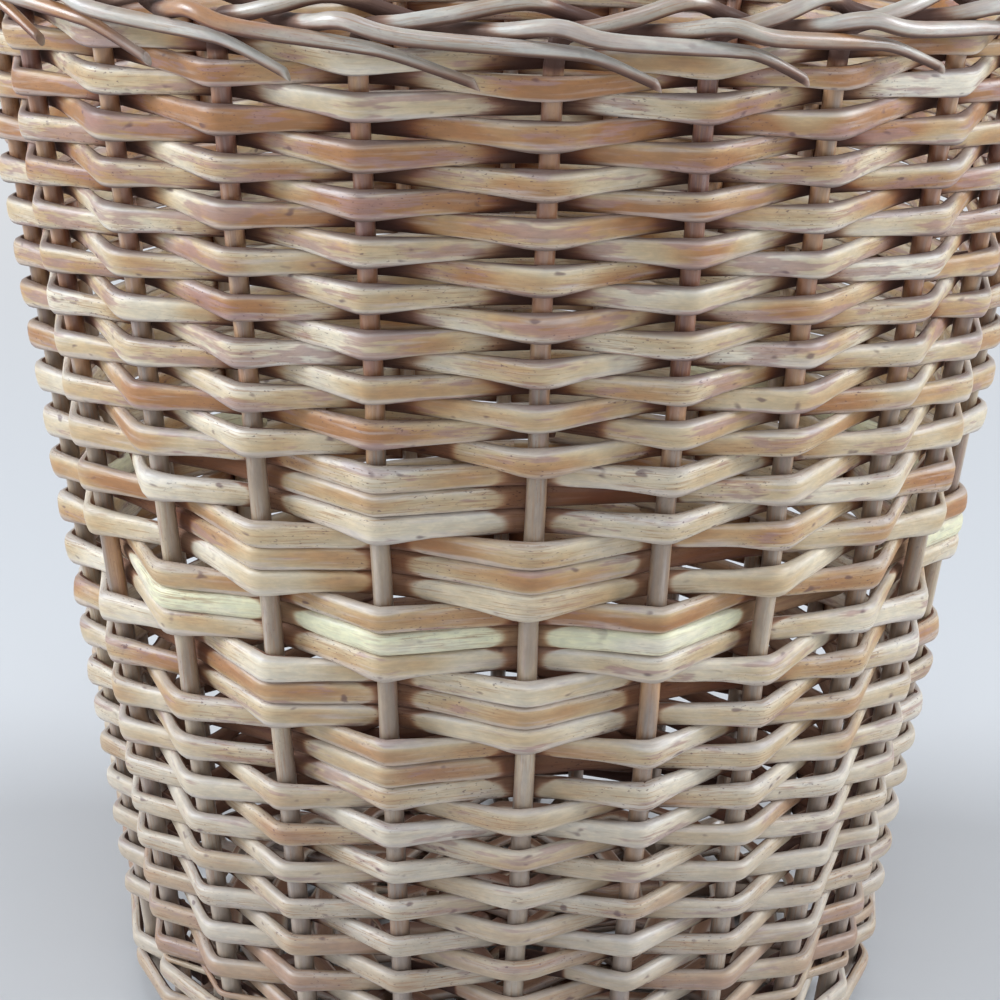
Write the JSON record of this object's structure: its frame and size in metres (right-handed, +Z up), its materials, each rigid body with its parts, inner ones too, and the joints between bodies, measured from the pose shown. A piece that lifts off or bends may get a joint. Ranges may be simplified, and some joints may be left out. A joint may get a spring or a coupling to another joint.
{
  "type": "wicker wastebasket",
  "caption": "Round open wastebasket of woven willow that widens upwards, with a band of lozenges in the weave, a rolled border and a crossed stick base.",
  "frame": {"origin": "middle of the underside, on the plane that the basket stands on", "axes": "+Z up along the basket's own axis, -Y the front with the middle of one lozenge, +X to the right as seen from the front"},
  "size_m": [0.268, 0.2681, 0.2684],
  "materials": {
    "weaver": "satin",
    "stake": "satin",
    "stick": "matt"
  },
  "bodies": {
    "root": {"wall_weaver_a_01": "weaver", "wall_weaver_a_02": "weaver", "wall_weaver_a_03": "weaver", "wall_weaver_a_04": "weaver", "wall_weaver_a_05": "weaver", "wall_weaver_a_06": "weaver", "wall_weaver_a_07": "weaver", "wall_weaver_a_08": "weaver", "wall_weaver_a_09": "weaver", "wall_weaver_a_10": "weaver", "wall_weaver_a_11": "weaver", "wall_weaver_b_01": "weaver", "wall_weaver_b_02": "weaver", "wall_weaver_b_03": "weaver", "wall_weaver_b_04": "weaver", "wall_weaver_b_05": "weaver", "wall_weaver_b_06": "weaver", "wall_weaver_b_07": "weaver", "wall_weaver_b_08": "weaver", "wall_weaver_b_09": "weaver", "wall_weaver_b_10": "weaver", "wall_weaver_b_11": "weaver", "upsett_rod_01": "weaver", "upsett_rod_02": "weaver", "upsett_rod_03": "weaver", "stake_01": "stake", "stake_02": "stake", "stake_03": "stake", "stake_04": "stake", "stake_05": "stake", "stake_06": "stake", "stake_07": "stake", "stake_08": "stake", "stake_09": "stake", "stake_10": "stake", "stake_11": "stake", "stake_12": "stake", "stake_13": "stake", "stake_14": "stake", "stake_15": "stake", "stake_16": "stake", "stake_17": "stake", "stake_18": "stake", "stake_19": "stake", "stake_20": "stake", "stake_21": "stake", "stake_22": "stake", "stake_23": "stake", "stake_24": "stake", "through_stick_01": "stick", "through_stick_02": "stick", "through_stick_03": "stick", "split_stick_01": "stick", "split_stick_02": "stick", "split_stick_03": "stick", "binding_rod_01": "weaver", "binding_rod_02": "weaver", "base_weaver_01": "weaver", "base_weaver_02": "weaver"}
  },
  "joints": []
}
